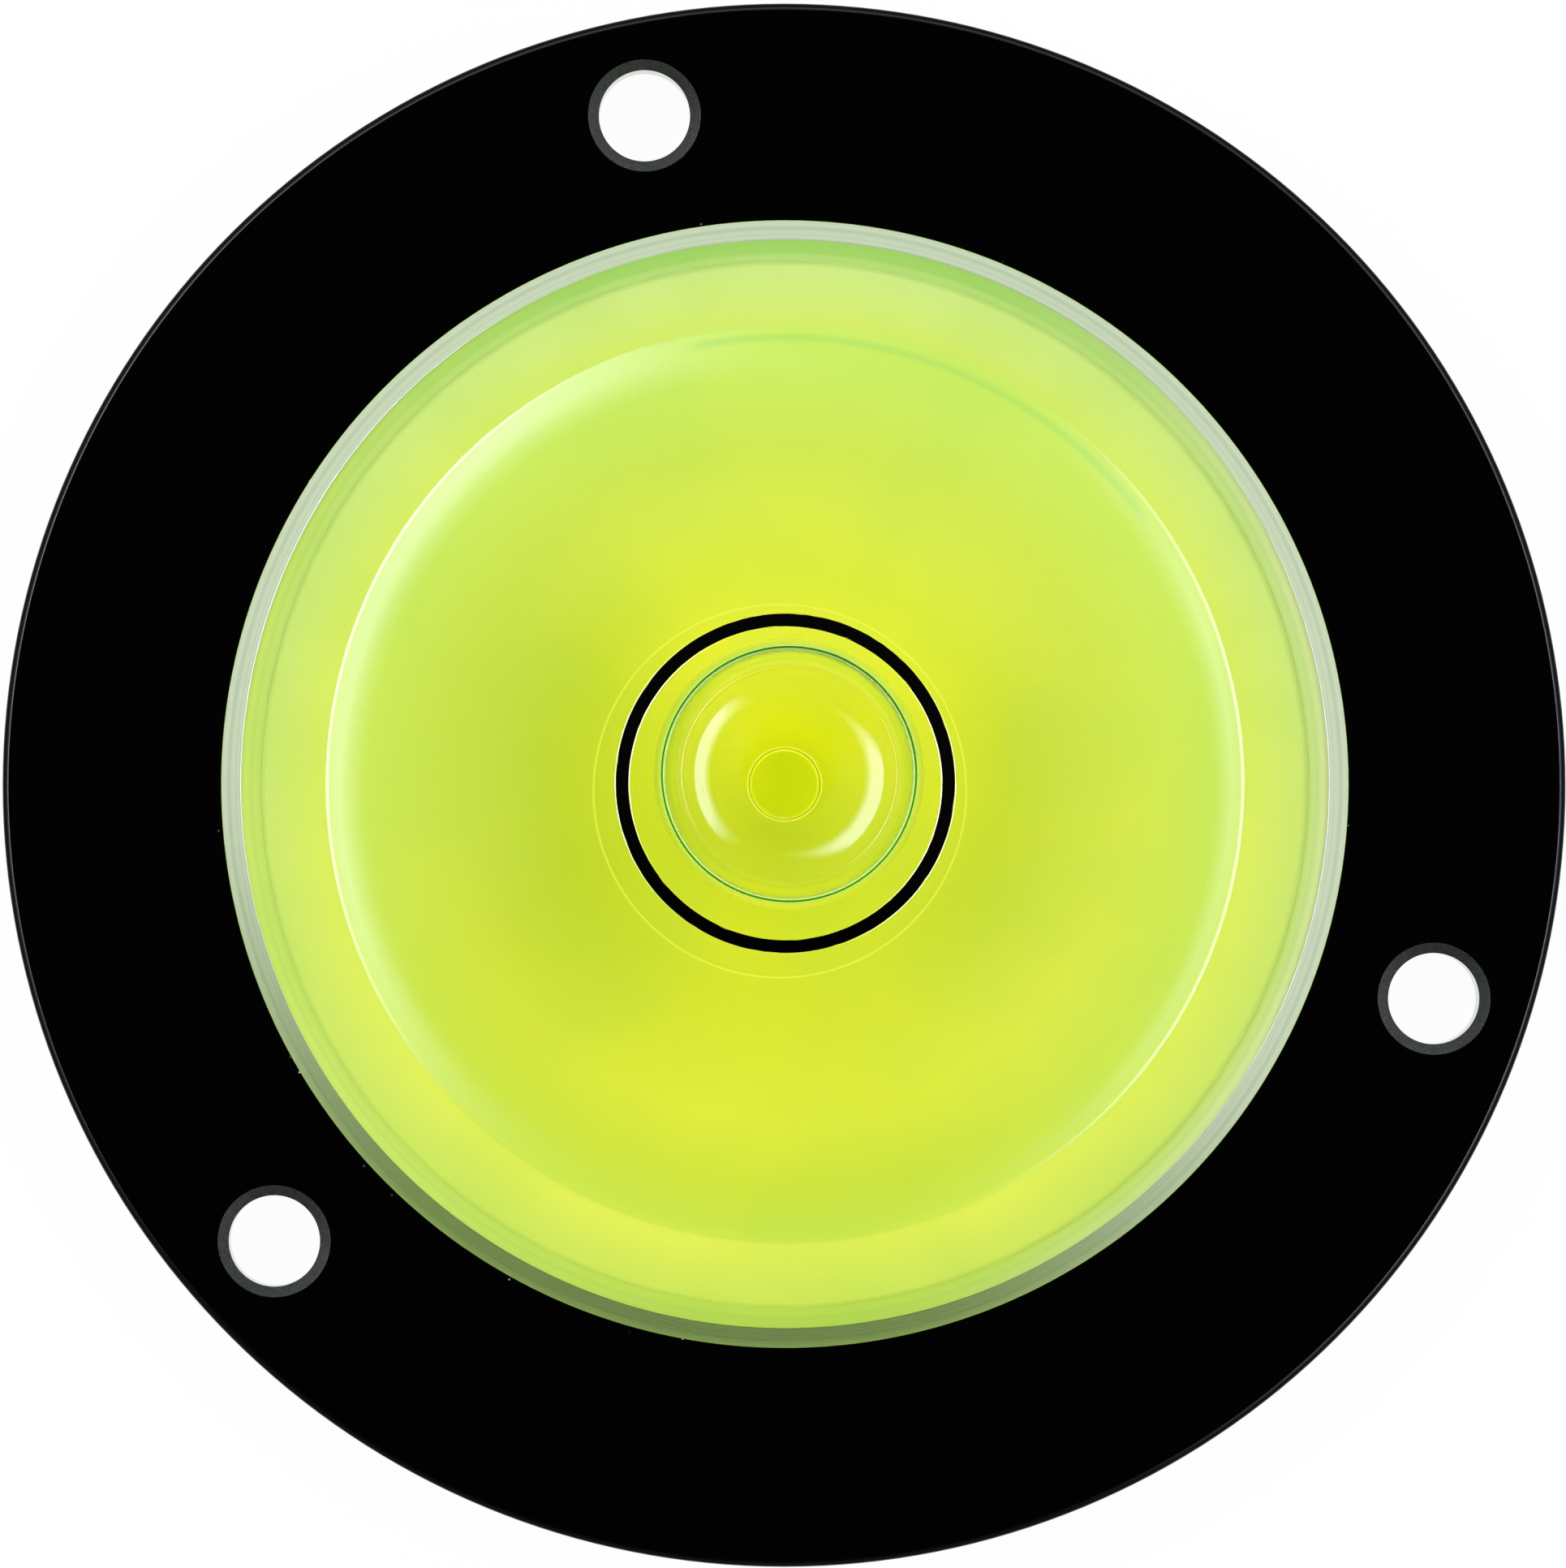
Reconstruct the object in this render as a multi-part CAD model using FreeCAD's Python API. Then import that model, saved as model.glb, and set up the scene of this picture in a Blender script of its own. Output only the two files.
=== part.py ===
import FreeCAD, Part
import math
import os

# Flange-mounted bullseye level: a black disc flange carries a round clear vial with a domed top.
# Millimetres, +Z up. The origin is the centre of the flange's underside, Z is the axis of every turned piece,
# and +Y is the side of the flange that has one hole near its top.

# Mounting flange
flange_diameter = 60.0
flange_border = 8.5             # from the rim in to the vial's side
flange_thickness = 4.0
rim_chamfer = 0.2
recess_depth = 2.5              # blind seat for the vial, open at the top face
seat_clearance = 0.05           # between the vial's side and the seat's wall, on the radius

# Screw holes through the flange
hole_count = 3
hole_diameter = 3.5             # clears an M3 screw
hole_inset = 3.75               # from the rim in to each hole's axis
first_hole_angle = 101.8        # degrees from +X, anticlockwise seen from above
hole_chamfer = 0.4

# Clear cap: side wall and domed lens turned from one bar
wall_thickness = 1.5
land_height = 7.5               # from the recess floor to the flat land around the dome
edge_chamfer = 0.75
land_width = 4.0                # from the vial's side in to the edge of the dome, chamfer and all
dome_rise = 2.7
lens_thickness = 3.2            # on the axis, from the top of the dome to the ceiling of the liquid
ceiling_radius = 300.0          # hollow spherical ceiling that centres the bubble

# Centring ring: a groove in the dome, filled flush with paint
ring_diameter = 12.4            # at the middle of the line
ring_width = 0.5
ring_depth = 0.25

# White base that the cap is cemented onto, and its filler plug
base_thickness = 1.5
plug_gap = 0.01                 # around the plug, on the radius
plug_diameter = 2.75
plug_chamfer = 0.1

# Air bubble, resting against the ceiling a little off the axis
bubble_diameter = 10.1
bubble_depth = 3.65
bubble_side_radius = 1.42       # of the bubble's side in section
bubble_contact_angle = 5.0      # degrees between the ceiling and the bubble's side
bubble_offset_x = 0.15
bubble_offset_y = 0.36

# Sizes that follow from the ones above
flange_radius = flange_diameter / 2
vial_radius = flange_radius - flange_border
hole_circle_radius = flange_radius - hole_inset
cavity_radius = vial_radius - wall_thickness
dome_edge_radius = vial_radius - land_width
ring_inner_radius = (ring_diameter - ring_width) / 2
ring_outer_radius = (ring_diameter + ring_width) / 2
plug_radius = plug_diameter / 2
recess_floor = flange_thickness - recess_depth
base_top = recess_floor + base_thickness
land_level = recess_floor + land_height
dome_top = land_level + dome_rise
ceiling_top = dome_top - lens_thickness
dome_radius = (dome_edge_radius ** 2 + dome_rise ** 2) / (2 * dome_rise)


def drop(sphere_radius, radius):
    """How far a spherical face has fallen at this distance from its top."""
    return sphere_radius - math.sqrt(sphere_radius ** 2 - radius ** 2)


def dome_point(radius):
    return point(radius, dome_top - drop(dome_radius, radius))


def ceiling_point(radius):
    return point(radius, ceiling_top - drop(ceiling_radius, radius))


def point(radius, height):
    """A point of a turned piece's half section."""
    return FreeCAD.Vector(radius, 0, height)


def line(start, end):
    return Part.LineSegment(start, end).toShape()


def lines(*points):
    return [line(start, end) for start, end in zip(points, points[1:])]


def arc(start, middle, end):
    return Part.Arc(start, middle, end).toShape()


def turned(edges):
    """The solid that a closed half section sweeps around Z."""
    section = Part.Face(Part.Wire(edges))
    return section.revolve(FreeCAD.Vector(0, 0, 0), FreeCAD.Vector(0, 0, 1), 360)


def dome_arc(start_radius, end_radius):
    middle = (start_radius + end_radius) / 2
    return arc(dome_point(start_radius), dome_point(middle), dome_point(end_radius))


def ceiling_arc(start_radius, end_radius):
    middle = (start_radius + end_radius) / 2
    return arc(ceiling_point(start_radius), ceiling_point(middle), ceiling_point(end_radius))


def screw_hole(angle):
    """Bore with a chamfer at each face, as a solid to cut away."""
    bore_radius = hole_diameter / 2
    mouth_radius = bore_radius + hole_chamfer
    edges = lines(
        point(0, 0),
        point(mouth_radius, 0),
        point(bore_radius, hole_chamfer),
        point(bore_radius, flange_thickness - hole_chamfer),
        point(mouth_radius, flange_thickness),
        point(0, flange_thickness),
        point(0, 0),
    )
    hole = turned(edges)
    hole.translate(FreeCAD.Vector(hole_circle_radius, 0, 0))
    hole.rotate(FreeCAD.Vector(0, 0, 0), FreeCAD.Vector(0, 0, 1), angle)
    return hole


def mounting_flange():
    """Turned disc with a chamfered rim, a blind seat for the vial and screw holes."""
    seat_radius = vial_radius + seat_clearance
    edges = lines(
        point(0, 0),
        point(flange_radius - rim_chamfer, 0),
        point(flange_radius, rim_chamfer),
        point(flange_radius, flange_thickness - rim_chamfer),
        point(flange_radius - rim_chamfer, flange_thickness),
        point(seat_radius, flange_thickness),
        point(seat_radius, recess_floor),
        point(0, recess_floor),
        point(0, 0),
    )
    flange = turned(edges)
    for number in range(hole_count):
        flange = flange.cut(screw_hole(first_hole_angle + number * 360 / hole_count))
    return flange


def groove_floor():
    """Height of the ring groove's flat floor, below the dome at the ring's outer edge."""
    return dome_point(ring_outer_radius).z - ring_depth


def vial_cap():
    """Clear cap with a chamfered edge, a flat land, a grooved dome and an open bottom."""
    floor = groove_floor()
    edges = lines(
        ceiling_point(cavity_radius),
        point(cavity_radius, base_top),
        point(vial_radius, base_top),
        point(vial_radius, land_level - edge_chamfer),
        point(vial_radius - edge_chamfer, land_level),
        dome_point(dome_edge_radius),
    )
    edges.append(dome_arc(dome_edge_radius, ring_outer_radius))
    edges += lines(
        dome_point(ring_outer_radius),
        point(ring_outer_radius, floor),
        point(ring_inner_radius, floor),
        dome_point(ring_inner_radius),
    )
    edges.append(dome_arc(ring_inner_radius, 0))
    edges.append(line(dome_point(0), ceiling_point(0)))
    edges.append(ceiling_arc(0, cavity_radius))
    return turned(edges)


def bullseye_ring():
    """Paint that fills the groove flush with the dome."""
    floor = groove_floor()
    edges = lines(
        dome_point(ring_inner_radius),
        point(ring_inner_radius, floor),
        point(ring_outer_radius, floor),
        dome_point(ring_outer_radius),
    )
    edges.append(dome_arc(ring_outer_radius, ring_inner_radius))
    return turned(edges)


def vial_base():
    """White disc as wide as the cap, with the filler hole at its centre."""
    inner = plug_radius + plug_gap
    return turned(lines(
        point(inner, recess_floor),
        point(vial_radius, recess_floor),
        point(vial_radius, base_top),
        point(inner, base_top),
        point(inner, recess_floor),
    ))


def filler_plug():
    """Plug that seals the filler hole, level with both faces of the base."""
    return turned(lines(
        point(0, recess_floor),
        point(plug_radius, recess_floor),
        point(plug_radius, base_top - plug_chamfer),
        point(plug_radius - plug_chamfer, base_top),
        point(0, base_top),
        point(0, recess_floor),
    ))


def bubble():
    """Air space: flat against the ceiling, round at its side, with a shallow spherical belly."""
    side_centre_radius = bubble_diameter / 2 - bubble_side_radius
    side_centre_depth = bubble_side_radius * math.cos(math.radians(bubble_contact_angle))
    side_centre = point(side_centre_radius, ceiling_top - side_centre_depth)
    below_side = bubble_depth - side_centre_depth
    spread = side_centre_radius ** 2 + below_side ** 2 - bubble_side_radius ** 2
    belly_radius = spread / (2 * (below_side - bubble_side_radius))
    lowest = point(0, ceiling_top - bubble_depth)
    slope = math.asin(side_centre_radius / (belly_radius - bubble_side_radius))
    top = side_centre + point(0, bubble_side_radius)
    widest = side_centre + point(bubble_side_radius, 0)
    join = side_centre + point(math.sin(slope), -math.cos(slope)) * bubble_side_radius
    middle = lowest + point(math.sin(slope / 2), 1 - math.cos(slope / 2)) * belly_radius
    edges = [
        line(point(0, top.z), top),
        arc(top, widest, join),
        arc(join, middle, lowest),
        line(lowest, point(0, top.z)),
    ]
    air = turned(edges)
    air.translate(FreeCAD.Vector(bubble_offset_x, bubble_offset_y, 0))
    return air


def level_liquid():
    """Liquid that fills the vial, less the bubble."""
    edges = lines(
        ceiling_point(0),
        point(0, base_top),
        point(cavity_radius, base_top),
        ceiling_point(cavity_radius),
    )
    edges.append(ceiling_arc(cavity_radius, 0))
    return turned(edges).cut(bubble())


pieces = {
    "mounting_flange": mounting_flange,
    "vial_cap": vial_cap,
    "bullseye_ring": bullseye_ring,
    "vial_base": vial_base,
    "filler_plug": filler_plug,
    "level_liquid": level_liquid,
}

os.makedirs("parts", exist_ok=True)
for name, build in pieces.items():
    shape = build()
    shape.exportStep("parts/" + name + ".step")
    print(name, "valid", shape.isValid(), "solids", len(shape.Solids), "volume", round(shape.Volume, 2))
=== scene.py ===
import math

import bmesh
import bpy
from mathutils import Matrix, Vector


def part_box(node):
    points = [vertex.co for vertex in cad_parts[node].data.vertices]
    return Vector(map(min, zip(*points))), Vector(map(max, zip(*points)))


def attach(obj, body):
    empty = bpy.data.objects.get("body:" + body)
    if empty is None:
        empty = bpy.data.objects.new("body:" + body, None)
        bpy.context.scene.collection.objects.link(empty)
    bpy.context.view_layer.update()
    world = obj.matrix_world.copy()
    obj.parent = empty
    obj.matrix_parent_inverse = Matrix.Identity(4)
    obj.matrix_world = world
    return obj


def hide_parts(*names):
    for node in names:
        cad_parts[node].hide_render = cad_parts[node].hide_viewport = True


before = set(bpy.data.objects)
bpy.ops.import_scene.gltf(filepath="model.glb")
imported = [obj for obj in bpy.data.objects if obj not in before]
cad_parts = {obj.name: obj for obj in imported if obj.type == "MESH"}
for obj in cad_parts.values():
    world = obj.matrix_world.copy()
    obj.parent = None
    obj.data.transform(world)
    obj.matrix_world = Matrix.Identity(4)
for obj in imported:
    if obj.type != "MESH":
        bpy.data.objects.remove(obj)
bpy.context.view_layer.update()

# Bullseye level seen from straight above. Metres, +Z up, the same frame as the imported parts.
# What a user would change is in one dictionary for each piece, in millimetres and degrees.
mm = 0.001
aroundSteps = 256               # sides of every turned surface

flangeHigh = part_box("mounting_flange")[1]
capLow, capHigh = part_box("vial_cap")
liquidLow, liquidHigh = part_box("level_liquid")
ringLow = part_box("bullseye_ring")[0]


def linearColour(hexText):
    # sRGB hex to the linear RGBA that the shaders take
    shares = [int(hexText[place:place + 2], 16) / 255 for place in (1, 3, 5)]
    return [s / 12.92 if s <= 0.04045 else ((s + 0.055) / 1.055) ** 2.4 for s in shares] + [1.0]


def addNode(tree, kind, inputs=(), stops=(), **settings):
    # A node with its settings. Inputs go by name or number, or are in order; each is a value, a hex colour or
    # the output that feeds it. A colour ramp has stops, which are pairs of a place and a colour
    node = tree.nodes.new(kind)
    for name, value in settings.items():
        setattr(node, name, value)
    for name, value in inputs.items() if isinstance(inputs, dict) else enumerate(inputs):
        if isinstance(value, bpy.types.NodeSocket):
            tree.links.new(value, node.inputs[name])
        else:
            node.inputs[name].default_value = linearColour(value) if isinstance(value, str) else value
    if stops:
        points = node.color_ramp.elements
        while len(points) < len(stops):
            points.new(0.5)
        for point, (place, colour) in zip(points, stops):
            point.position = place
            point.color = linearColour(colour) if isinstance(colour, str) else colour
    return node


def newTree(name):
    material = bpy.data.materials.new(name)
    material.use_nodes = True
    material.node_tree.nodes.clear()
    return material, material.node_tree


def addRadius(tree, centreX=0.0, centreY=0.0):
    # Distance from a vertical axis, in millimetres
    place = addNode(tree, "ShaderNodeTexCoord").outputs["Object"]
    axis = (centreX * mm, centreY * mm, 0)
    away = addNode(tree, "ShaderNodeVectorMath", (place, axis), operation="SUBTRACT")
    flat = addNode(tree, "ShaderNodeVectorMath", (away.outputs[0], (1 / mm, 1 / mm, 0)), operation="MULTIPLY")
    return addNode(tree, "ShaderNodeVectorMath", (flat.outputs[0],), operation="LENGTH").outputs["Value"]


def addTurnFrom(tree, place, azimuth):
    # Degrees, seen from above, between where a point or direction lies and an azimuth
    level = addNode(tree, "ShaderNodeVectorMath", (place, (1, 1, 0)), operation="MULTIPLY")
    heading = addNode(tree, "ShaderNodeVectorMath", (level.outputs[0],), operation="NORMALIZE")
    toward = (math.cos(math.radians(azimuth)), math.sin(math.radians(azimuth)), 0)
    likeness = addNode(tree, "ShaderNodeVectorMath", (heading.outputs[0], toward), operation="DOT_PRODUCT")
    turn = addNode(tree, "ShaderNodeMath", (likeness.outputs["Value"],), operation="ARCCOSINE")
    return addNode(tree, "ShaderNodeMath", (turn.outputs[0],), operation="DEGREES").outputs[0]


def addFan(tree, place, azimuth, full, none, height=1.0):
    # A share that keeps its height for some degrees on both sides of an azimuth, then fades to nothing
    turn = addTurnFrom(tree, place, azimuth)
    return addNode(tree, "ShaderNodeMapRange", (turn, full, none, height, 0.0),
                   interpolation_type="SMOOTHSTEP").outputs[0]


def addBell(tree, value, centre, reach, height=1.0):
    # A smooth bump around one value
    away = addNode(tree, "ShaderNodeMath", (value, centre), operation="SUBTRACT")
    away = addNode(tree, "ShaderNodeMath", (away.outputs[0],), operation="ABSOLUTE")
    return addNode(tree, "ShaderNodeMapRange", (away.outputs[0], 0.0, reach, height, 0.0),
                   interpolation_type="SMOOTHSTEP").outputs[0]


def addTurningMarks(tree, pitch, depth):
    # Concentric tool marks of uneven height, pitch and depth in millimetres
    marks = addNode(tree, "ShaderNodeTexNoise", {"W": addRadius(tree), "Scale": 1 / pitch, "Detail": 2.0},
                    noise_dimensions="1D")
    return addNode(tree, "ShaderNodeBump", {"Height": marks.outputs[0], "Distance": depth * mm})


def ring(radius, height, slot=0, sharp=False, centre=(0.0, 0.0)):
    # One circle of a turned surface, in millimetres; radius may be a function of the angle, and height one of
    # the distance from Z
    return {"radius": radius, "height": height, "slot": slot, "sharp": sharp, "centre": centre}


def roundedCorners(corners, steps=4):
    # Rings along a half section; each corner is (radius, height, rounding, slot of the run after it)
    rings = []
    for number, (radius, height, rounding, slot) in enumerate(corners):
        if not rounding:
            rings.append(ring(radius, height, slot, True))
            continue
        corner = Vector((radius, height))
        before = (Vector(corners[number - 1][:2]) - corner).normalized()
        after = (Vector(corners[number + 1][:2]) - corner).normalized()
        half = before.angle(after) / 2
        start = corner + before * rounding / math.tan(half)
        end = corner + after * rounding / math.tan(half)
        middle = corner + (before + after).normalized() * rounding / math.sin(half)
        turn = math.pi - 2 * half
        for step in range(steps + 1):
            share = step / steps
            first = math.sin((1 - share) * turn) / math.sin(turn)
            second = math.sin(share * turn) / math.sin(turn)
            spot = middle + (start - middle) * first + (end - middle) * second
            rings.append(ring(spot.x, spot.y, slot, step in (0, steps)))
    return rings


def valueAt(value, place):
    return value(place) if callable(value) else value


def addTurned(mesh, rings, closed=False):
    # Skins the rings, one after another; a ring of no radius is a single point. Returns the loops of points
    loops = []
    for circle in rings:
        count = 1 if circle["radius"] == 0 else aroundSteps
        loop = []
        for step in range(count):
            angle = 2 * math.pi * step / aroundSteps
            radius = valueAt(circle["radius"], angle)
            x = circle["centre"][0] + radius * math.cos(angle)
            y = circle["centre"][1] + radius * math.sin(angle)
            z = valueAt(circle["height"], math.hypot(x, y))
            loop.append(mesh.verts.new((x * mm, y * mm, z * mm)))
        loops.append(loop)
    pairs = list(zip(range(len(loops)), range(1, len(loops))))
    if closed:
        pairs.append((len(loops) - 1, 0))
    for first, second in pairs:
        for step in range(aroundSteps):
            near, far = loops[first], loops[second]
            corners = [near[step % len(near)], far[step % len(far)],
                       far[(step + 1) % len(far)], near[(step + 1) % len(near)]]
            face = mesh.faces.new(list(dict.fromkeys(corners)))
            face.material_index = rings[first]["slot"]
            face.smooth = True
    for circle, loop in zip(rings, loops):
        if circle["sharp"] and len(loop) > 1:
            for step in range(aroundSteps):
                mesh.edges.get((loop[step], loop[(step + 1) % aroundSteps])).smooth = False
    return loops


def fillFlat(mesh, loops, slot=0):
    # A level face between an outer circle and the circles inside it
    edges = []
    for loop in loops:
        edges += [mesh.edges.get(pair) for pair in zip(loop, loop[1:] + loop[:1])]
    for face in bmesh.ops.triangle_fill(mesh, use_beauty=True, edges=edges, normal=(0, 0, 1))["geom"]:
        if isinstance(face, bmesh.types.BMFace):
            face.material_index = slot
            face.smooth = False


def finishPiece(name, mesh, materials, node):
    # Turns the mesh into a piece that stands for its CAD node
    bmesh.ops.recalc_face_normals(mesh, faces=mesh.faces)
    if mesh.calc_volume(signed=True) < 0:
        bmesh.ops.reverse_faces(mesh, faces=mesh.faces)
    data = bpy.data.meshes.new(name)
    mesh.to_mesh(data)
    mesh.free()
    for material in materials:
        data.materials.append(material)
    piece = bpy.data.objects.new(name, data)
    bpy.context.scene.collection.objects.link(piece)
    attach(piece, "root")
    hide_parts(node)
    print("made", name, len(data.polygons), "faces")
    return piece


def letLampsThrough(tree, shader):
    # Lamp light reaches what lies under clear plastic without the caustics that would speckle it
    path = addNode(tree, "ShaderNodeLightPath")
    lampRay = addNode(tree, "ShaderNodeMath", (path.outputs["Is Shadow Ray"], path.outputs["Is Diffuse Ray"]),
                      operation="MAXIMUM")
    clear = addNode(tree, "ShaderNodeBsdfTransparent", {"Color": (1, 1, 1, 1)})
    return addNode(tree, "ShaderNodeMixShader", (lampRay.outputs[0], shader, clear.outputs[0])).outputs[0]


def showSurface(tree, shader):
    addNode(tree, "ShaderNodeOutputMaterial", {"Surface": shader})


# Mounting flange: a turned disc with rounded chamfers, a blind seat and three countersunk holes

flangeLook = {
    "rimChamfer": 0.2,
    "edgeRounding": 0.14,
    "seatRadius": 21.55,
    "seatRounding": 0.03,
    "seatFloor": 1.5,
    "seatBorder": 0.5,          # width of the circle of face that goes with the seat, and with each hole
    "holeCount": 3,
    "firstHoleAngle": 101.8,
    "holeCircleRadius": 26.25,
    "holeRadius": 1.75,
    "holeChamfer": 0.4,
    "holeRounding": 0.03,
    "holeBorder": 0.1,
    "black": "#020202",
    "roughness": 0.08,
    "markPitch": 0.12,          # feed of the tool that cut the face
    "markDepth": 0.0002,
    "chamferRoughness": 0.35,
    "chamferSpecular": 0.05,
    "countersinkRoughness": 0.55,
    "countersinkGrain": 0.12,   # size of the cutter's marks
    "countersinkGreys": [(0.35, "#23281f"), (0.65, "#3c4236")],
    "glueReach": 0.3,           # how far from the seat the specks of glue lie
    "glueSpeck": 0.35,          # about how far apart their places are
    "glueSize": (0.1, 0.14),    # a speck's radius as a share of that, from whole to nothing
    "glueRarity": (0.8, 0.85),  # share of the places that stay bare
    "glue": "#a8b09a",
}


def anodisedTurned():
    # Black anodised aluminium, turned and then dyed: a hard clear oxide over a black that mirrors little,
    # with fine concentric tool marks
    look = flangeLook
    material, tree = newTree("blackAnodisedAluminiumTurned")
    marks = addTurningMarks(tree, look["markPitch"], look["markDepth"])
    place = addNode(tree, "ShaderNodeTexCoord").outputs["Object"]
    cells = addNode(tree, "ShaderNodeTexVoronoi", {"Vector": place, "Scale": 1 / (look["glueSpeck"] * mm)})
    speck = addNode(tree, "ShaderNodeMapRange", (cells.outputs["Distance"], *look["glueSize"], 1.0, 0.0),
                    interpolation_type="SMOOTHSTEP")
    draw = addNode(tree, "ShaderNodeSeparateXYZ", (cells.outputs["Color"],))
    rare = addNode(tree, "ShaderNodeMapRange", (draw.outputs[0], *look["glueRarity"], 0.0, 1.0),
                   interpolation_type="SMOOTHSTEP")
    nearSeat = addBell(tree, addRadius(tree), look["seatRadius"], look["glueReach"])
    glue = addNode(tree, "ShaderNodeMath", (speck.outputs[0], nearSeat), operation="MULTIPLY")
    glue = addNode(tree, "ShaderNodeMath", (glue.outputs[0], rare.outputs[0]), operation="MULTIPLY")
    colour = addNode(tree, "ShaderNodeMix", {0: glue.outputs[0], 6: look["black"], 7: look["glue"]},
                     data_type="RGBA")
    shader = addNode(tree, "ShaderNodeBsdfPrincipled", {
        "Base Color": colour.outputs[2], "Roughness": look["roughness"], "Normal": marks.outputs[0]})
    showSurface(tree, shader.outputs[0])
    return material


def anodisedChamfered():
    # Black anodised aluminium, chamfered: dull, so the rim stays dark between the glints of its two edges
    material, tree = newTree("blackAnodisedAluminiumChamfered")
    shader = addNode(tree, "ShaderNodeBsdfPrincipled", {
        "Base Color": flangeLook["black"], "Roughness": flangeLook["chamferRoughness"],
        "Specular IOR Level": flangeLook["chamferSpecular"]})
    showSurface(tree, shader.outputs[0])
    return material


def anodisedCountersunk():
    # Black anodised aluminium, countersunk: rougher from the cutter, so it looks dark grey beside the face
    material, tree = newTree("blackAnodisedAluminiumCountersunk")
    place = addNode(tree, "ShaderNodeTexCoord").outputs["Object"]
    grain = addNode(tree, "ShaderNodeTexNoise", {
        "Vector": place, "Scale": 1 / (flangeLook["countersinkGrain"] * mm), "Detail": 3.0})
    colour = addNode(tree, "ShaderNodeValToRGB", (grain.outputs[0],), flangeLook["countersinkGreys"])
    shader = addNode(tree, "ShaderNodeBsdfPrincipled", {
        "Base Color": colour.outputs[0], "Roughness": flangeLook["countersinkRoughness"]})
    showSurface(tree, shader.outputs[0])
    return material


def makeFlange():
    look = flangeLook
    outer = flangeHigh.x / mm
    top = flangeHigh.z / mm
    chamfer = look["rimChamfer"]
    rounding = look["edgeRounding"]
    turned, countersunk, chamfered = 0, 1, 2
    mesh = bmesh.new()
    rim = roundedCorners([
        (outer - chamfer * 3, 0, 0, turned),
        (outer - chamfer, 0, rounding, turned),
        (outer, chamfer, rounding, turned),
        (outer, top - chamfer, rounding, turned),
        (outer - chamfer, top, rounding, turned),
        (outer - chamfer * 3, top, 0, turned),
    ])
    for before, after in zip(rim, rim[1:]):
        if after["radius"] - before["radius"] and abs(after["height"] - before["height"]) > 0.3 * chamfer:
            before["slot"] = chamfered
    rimLoops = addTurned(mesh, rim)
    seat = roundedCorners([
        (look["seatRadius"] + look["seatBorder"], top, 0, turned),
        (look["seatRadius"], top, look["seatRounding"], turned),
        (look["seatRadius"], look["seatFloor"], 0, turned),
    ]) + [ring(0, look["seatFloor"])]
    seatLoops = addTurned(mesh, seat)
    bottomLoops = [rimLoops[0]]
    topLoops = [rimLoops[-1], seatLoops[0]]
    for number in range(look["holeCount"]):
        angle = math.radians(look["firstHoleAngle"] + 360 * number / look["holeCount"])
        centre = (look["holeCircleRadius"] * math.cos(angle), look["holeCircleRadius"] * math.sin(angle))
        mouth = look["holeRadius"] + look["holeChamfer"]
        hole = roundedCorners([
            (mouth + look["holeBorder"], 0, 0, turned),
            (mouth, 0, look["holeRounding"], countersunk),
            (look["holeRadius"], look["holeChamfer"], look["holeRounding"], turned),
            (look["holeRadius"], top - look["holeChamfer"], look["holeRounding"], countersunk),
            (mouth, top, look["holeRounding"], turned),
            (mouth + look["holeBorder"], top, 0, turned),
        ], steps=3)
        for circle in hole:
            circle["centre"] = centre
        holeLoops = addTurned(mesh, hole)
        bottomLoops.append(holeLoops[0])
        topLoops.append(holeLoops[-1])
    fillFlat(mesh, bottomLoops)
    fillFlat(mesh, topLoops)
    materials = [anodisedTurned(), anodisedCountersunk(), anodisedChamfered()]
    finishPiece("flange_body", mesh, materials, "mounting_flange")


# Clear cap: side wall, flat land and domed lens in one piece of acrylic

capLook = {
    "landWidth": 4.0,
    "edgeChamfer": 0.75,
    "domeRise": 2.7,
    "footWidth": 0.16,          # the dome's foot, where the polishing rolls the edge over
    "footSlope": 18.9,          # its slope in degrees
    "footRoll": 5,              # how many of its twelve steps it takes to reach that slope
    "lensThickness": 3.2,
    "ceilingRadius": 300.0,
    "edgeRounding": 0.06,
    "groove": (5.95, 6.45),
    "grooveLip": (0.035, 19.3),  # width and slope in degrees of the rolled edge on both sides of the groove
    "cementGap": 0.01,          # keeps faces that are cemented or wetted from lying in each other
    "acrylicIor": 1.49,
    "sideRoughness": 0.12,
    "bevelRoughness": 0.3,
    "bevelClear": "#e6efe4",
    "bevelBloom": 0.55,         # share of the bevel's light that its tool marks scatter
    "bevelGreys": [(0.3, "#cbd1d3"), (0.7, "#e8ecee")],
    "bevelStreaks": 0.16,       # width of the tool's pale and dark streaks
    "bevelShadeGreen": "#4c7c1c",    # painted shade: the dye's green, darker, on the bevel's side away from the lamps
    "shadedSide": (257.0, 22.0, 80.0, 0.8),  # azimuth of that side, half widths whole and faded, depth
    "markPitch": 0.05,          # feed of the tool that cut the bevel
    "markDepth": 0.006,
}
bubbleLook = {
    "diameter": 10.1,
    "depth": 3.65,
    "sideRadius": 1.42,
    "contactAngle": 5.0,
    "contactReach": 0.21,       # how far past its side's centre it parts from the ceiling, of the side radius
    "centre": (0.15, 0.36),
}

capOuter = capHigh.x / mm
capBottom = capLow.z / mm
domeTop = capHigh.z / mm
landLevel = domeTop - capLook["domeRise"]
domeEdge = capOuter - capLook["landWidth"]
domeRadius = (domeEdge ** 2 + capLook["domeRise"] ** 2) / (2 * capLook["domeRise"])
ceilingTop = domeTop - capLook["lensThickness"]
cavityRadius = liquidHigh.x / mm
grooveFloor = ringLow.z / mm


def domeHeight(distance):
    return domeTop - domeRadius + math.sqrt(domeRadius ** 2 - distance ** 2)


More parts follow.
